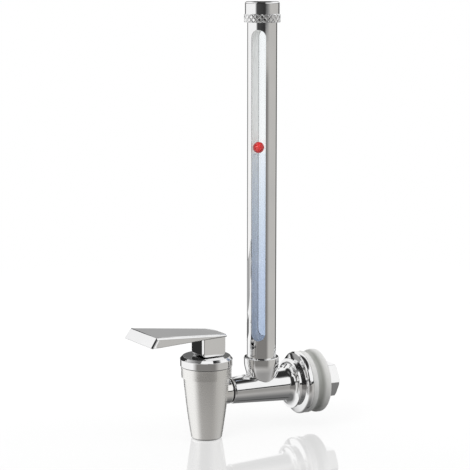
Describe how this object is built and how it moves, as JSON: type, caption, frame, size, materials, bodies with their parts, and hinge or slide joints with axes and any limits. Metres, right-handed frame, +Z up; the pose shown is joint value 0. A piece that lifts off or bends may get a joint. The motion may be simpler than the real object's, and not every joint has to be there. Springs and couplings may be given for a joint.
{
  "type": "beverage dispenser spigot",
  "caption": "Press-down tap for a drinks dispenser, with an upright level gauge on its arm and a flanged threaded shank that clamps through the wall.",
  "frame": {"origin": "centre of the wall flange's rear face, on the shank's axis", "axes": "+Y along the shank, into the container; +Z up along the gauge; +X to the right of a person who faces the container from the front"},
  "size_m": [0.0344, 0.1121, 0.2183],
  "materials": {
    "polished_metal": "polished, with a warm grey cast",
    "satin_metal": "satin",
    "spring_steel": "drawn wire",
    "silicone": "translucent white silicone",
    "dark_rubber": "matt black",
    "clear_plastic": "clear",
    "water": "clear pale blue liquid",
    "red_plastic": "glossy"
  },
  "bodies": {
    "root": {"spout_barrel": "satin_metal", "bonnet": "polished_metal", "bonnet_gasket": "dark_rubber", "stem_o_ring": "dark_rubber", "return_spring": "spring_steel", "tee_arm": "polished_metal", "neck_gasket": "dark_rubber", "flanged_shank": "polished_metal", "shank_o_ring": "dark_rubber", "front_washer": "silicone", "gauge_tube": "polished_metal", "sight_tube": "clear_plastic", "lower_sight_seal": "silicone", "upper_sight_seal": "silicone", "gauge_cap": "polished_metal", "water_column": "water"},
    "poppet": {"seat_cup": "silicone", "spring_washer": "satin_metal"},
    "stem": {"valve_stem": "satin_metal"},
    "handle": {"lever_handle": "polished_metal", "handle_pin": "spring_steel"},
    "float": {"float_ball": "red_plastic"},
    "washer": {"rear_washer": "silicone"},
    "nut": {"mounting_nut": "polished_metal"}
  },
  "joints": [
    {"name": "stem_lift", "type": "slide", "parent": "root", "child": "poppet", "axis": [0, 0, 1], "range_m": [0, 0.00098], "deforming": ["return_spring"]},
    {"name": "handle_swivel", "type": "hinge", "parent": "poppet", "child": "stem", "pos_m": [0, -0.0531, 0], "axis": [0, 0, 1], "range_deg": [-126, 114]},
    {"name": "lever_tilt", "type": "hinge", "parent": "stem", "child": "handle", "pos_m": [0, -0.0531, 0.024], "axis": [0.9945, 0.1045, 0], "range_deg": [0, 18], "stiffness_Nm_per_rad": 0.3, "springref_deg": -34.38},
    {"name": "float_rise", "type": "slide", "parent": "root", "child": "float", "axis": [0, 0, 1], "range_m": [-0.1075, 0.0655], "stiffness_N_per_m": 0.26, "springref_m": 0.004, "deforming": ["water_column"]},
    {"name": "washer_slide", "type": "slide", "parent": "root", "child": "washer", "axis": [0, 1, 0], "range_m": [0, 0.0045]},
    {"name": "nut_spin", "type": "hinge", "parent": "washer", "child": "nut", "pos_m": [0, 0.0145, 0], "axis": [0, 1, 0], "range_deg": [0, 1080]}
  ],
  "couplings": [
    {"joint": "lever_tilt", "follows": "stem_lift", "rad_per_m": 320},
    {"joint": "washer_slide", "follows": "nut_spin", "m_per_rad": 0.0002387}
  ]
}
